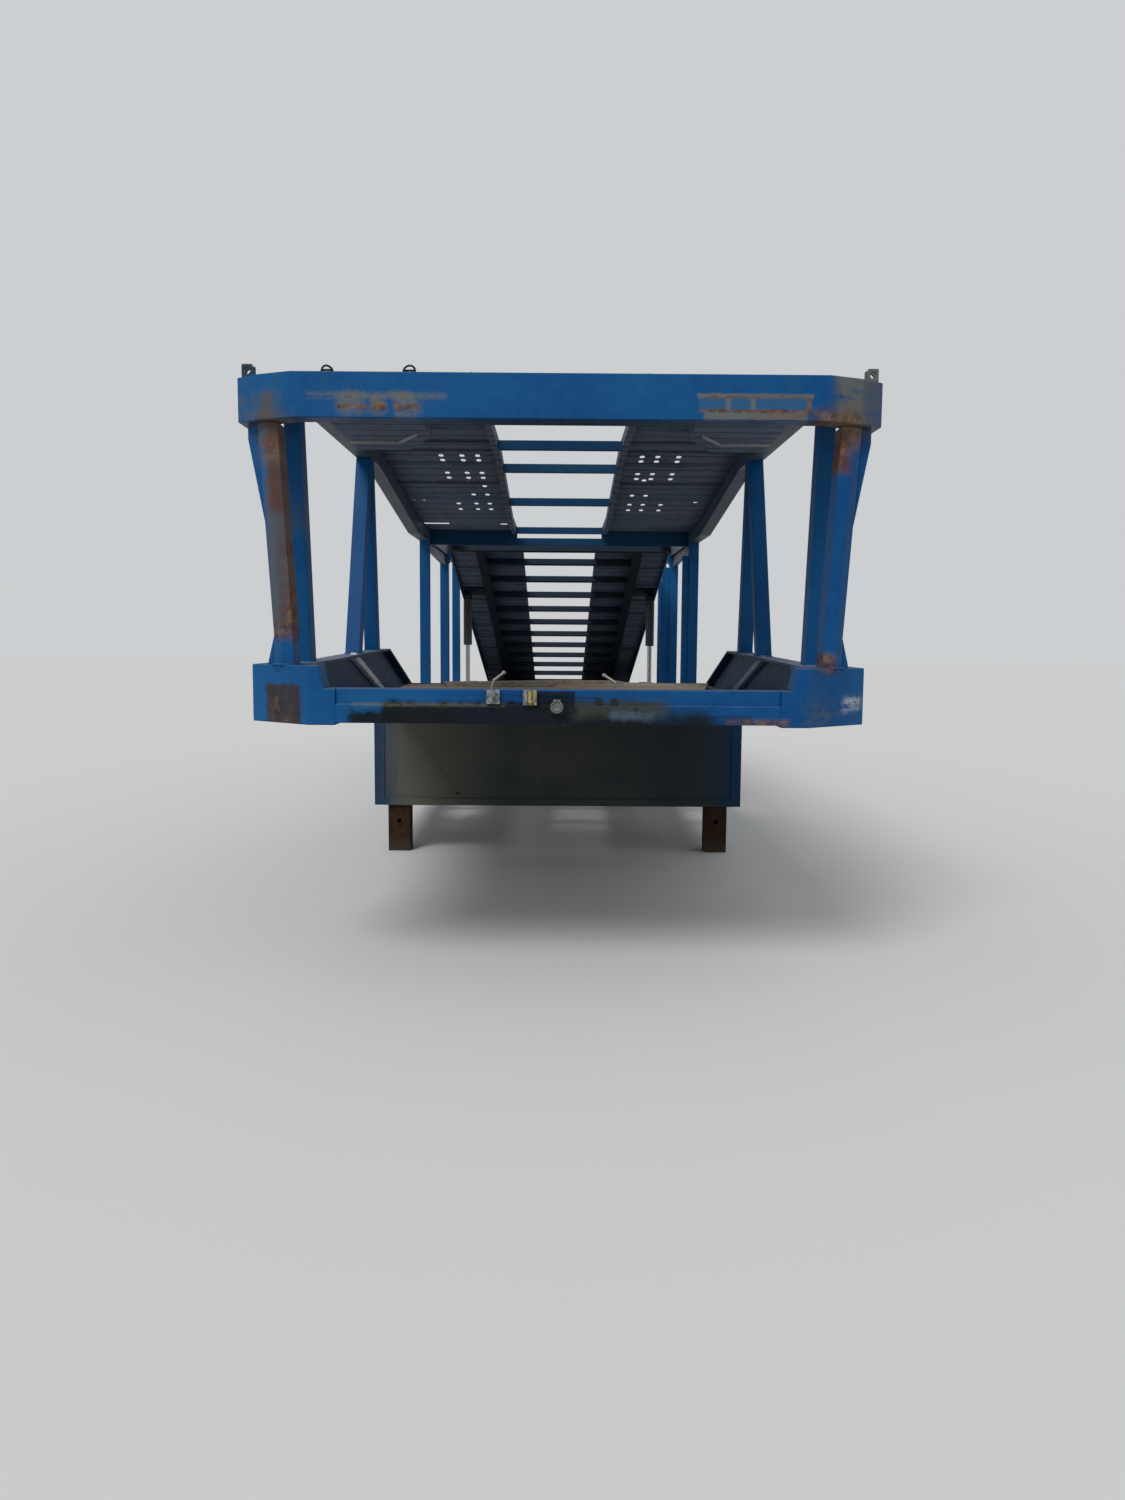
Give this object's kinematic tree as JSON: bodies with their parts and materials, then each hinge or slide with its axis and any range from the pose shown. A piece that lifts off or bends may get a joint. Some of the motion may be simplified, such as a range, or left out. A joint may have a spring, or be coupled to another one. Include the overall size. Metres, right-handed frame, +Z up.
{
  "type": "car transporter semi-trailer",
  "caption": "Two-deck car transporter semi-trailer on its landing legs: open post frame, neck with kingpin, tilting rear upper platform, twin-tyred axles and slide-out ramps.",
  "frame": {"origin": "on the ground, below the middle of the whole trailer's box", "axes": "-Y towards the front (kingpin end), +X to the right of a viewer facing the front end, +Z up"},
  "size_m": [2.576, 13.634, 2.585],
  "materials": {
    "blue_paint": "faded strong blue enamel with rust and grime",
    "dark_paint": "blue paint darkened by grime and brown rust",
    "bulkhead_paint": "dark grey-green grime over blue paint",
    "navy_paint": "dark navy paint, dusty and stained",
    "rail_paint": "blue paint worn to brown-grey on the rails",
    "tread_plate": "dirty ribbed steel plate, brown-black",
    "rusty_steel": "rust-brown bare steel",
    "plywood": "weathered board",
    "steel": "worn bare steel",
    "tyre": "dusty black rubber",
    "wheel_paint": "dull silver-grey paint",
    "axle_paint": "black chassis paint with dust",
    "bellows": "matt black rubber",
    "lamp_red": "red lens",
    "yellow_plastic": "yellow coupling cover",
    "grey_plastic": "grey socket cap",
    "cylinder_black": "black gloss cylinder paint",
    "chrome_rod": "hard chrome"
  },
  "bodies": {
    "frame": {"front_beam": "blue_paint", "corner_blocks": "blue_paint", "neck_sides": "navy_paint", "neck_crossmembers": "dark_paint", "neck_floor": "plywood", "coupling_plate": "steel", "kingpin": "steel", "bulkhead": "bulkhead_paint", "landing_legs": "rusty_steel", "side_sills": "blue_paint", "main_beams": "dark_paint", "deck_crossmembers": "dark_paint", "deck_runways": "tread_plate", "arch_covers": "tread_plate", "tail_beam": "blue_paint", "tail_lamps": "lamp_red", "trailing_arms": "axle_paint", "hangers": "axle_paint", "air_springs": "bellows", "front_posts": "blue_paint", "second_posts": "blue_paint", "a_frames": "blue_paint", "side_posts": "blue_paint", "top_beam": "blue_paint", "upper_rails": "rail_paint", "upper_runways": "tread_plate", "upper_rungs": "navy_paint", "hinge_brackets": "navy_paint", "cylinder_feet": "blue_paint", "air_couplings": "yellow_plastic", "socket": "grey_plastic", "air_tank": "axle_paint", "axle_1": "axle_paint", "axle_2": "axle_paint"},
    "platform": {"platform_frame": "dark_paint", "platform_runways": "tread_plate"},
    "barrel_left": {"barrel_left": "cylinder_black"},
    "rod_left": {"rod_left": "chrome_rod"},
    "ramp_left": {"ramp_left": "tread_plate"},
    "wheels_1_left": {"wheels_1_left": "wheel_paint", "tyres_1_left": "tyre"},
    "wheels_2_left": {"wheels_2_left": "wheel_paint", "tyres_2_left": "tyre"},
    "barrel_right": {"barrel_right": "cylinder_black"},
    "rod_right": {"rod_right": "chrome_rod"},
    "ramp_right": {"ramp_right": "tread_plate"},
    "wheels_1_right": {"wheels_1_right": "wheel_paint", "tyres_1_right": "tyre"},
    "wheels_2_right": {"wheels_2_right": "wheel_paint", "tyres_2_right": "tyre"}
  },
  "joints": [
    {"name": "platform_tilt", "type": "hinge", "parent": "frame", "child": "platform", "pos_m": [0, -1.583, 2.315], "axis": [1, 0, 0], "range_deg": [0, 14.11]},
    {"name": "barrel_swing_left", "type": "hinge", "parent": "platform", "child": "barrel_left", "pos_m": [-0.905, 0.00019, 1.84498], "axis": [1, 0, 0], "range_deg": [-17.3, 0.5]},
    {"name": "rod_slide_left", "type": "slide", "parent": "barrel_left", "child": "rod_left", "axis": [0, 0, -1], "range_m": [-0.002, 0.4019]},
    {"name": "barrel_swing_right", "type": "hinge", "parent": "platform", "child": "barrel_right", "pos_m": [0.905, 0.00019, 1.84498], "axis": [1, 0, 0], "range_deg": [-17.3, 0.5]},
    {"name": "rod_slide_right", "type": "slide", "parent": "barrel_right", "child": "rod_right", "axis": [0, 0, -1], "range_m": [-0.002, 0.4019]},
    {"name": "ramp_slide_left", "type": "slide", "parent": "frame", "child": "ramp_left", "axis": [0, 1, 0], "range_m": [0, 1.6]},
    {"name": "ramp_slide_right", "type": "slide", "parent": "frame", "child": "ramp_right", "axis": [0, 1, 0], "range_m": [0, 1.6]},
    {"name": "wheel_roll_1_left", "type": "hinge", "parent": "frame", "child": "wheels_1_left", "pos_m": [0, 1.967, 0.3835], "axis": [1, 0, 0], "continuous": true},
    {"name": "wheel_roll_1_right", "type": "hinge", "parent": "frame", "child": "wheels_1_right", "pos_m": [0, 1.967, 0.3835], "axis": [1, 0, 0], "continuous": true},
    {"name": "wheel_roll_2_left", "type": "hinge", "parent": "frame", "child": "wheels_2_left", "pos_m": [0, 3.317, 0.3835], "axis": [1, 0, 0], "continuous": true},
    {"name": "wheel_roll_2_right", "type": "hinge", "parent": "frame", "child": "wheels_2_right", "pos_m": [0, 3.317, 0.3835], "axis": [1, 0, 0], "continuous": true}
  ],
  "couplings": [
    {"joint": "barrel_swing_left", "follows": "platform_tilt", "ratio": -1.1906},
    {"joint": "rod_slide_left", "follows": "platform_tilt", "m_per_rad": 1.6163},
    {"joint": "barrel_swing_right", "follows": "platform_tilt", "ratio": -1.1906},
    {"joint": "rod_slide_right", "follows": "platform_tilt", "m_per_rad": 1.6163}
  ]
}
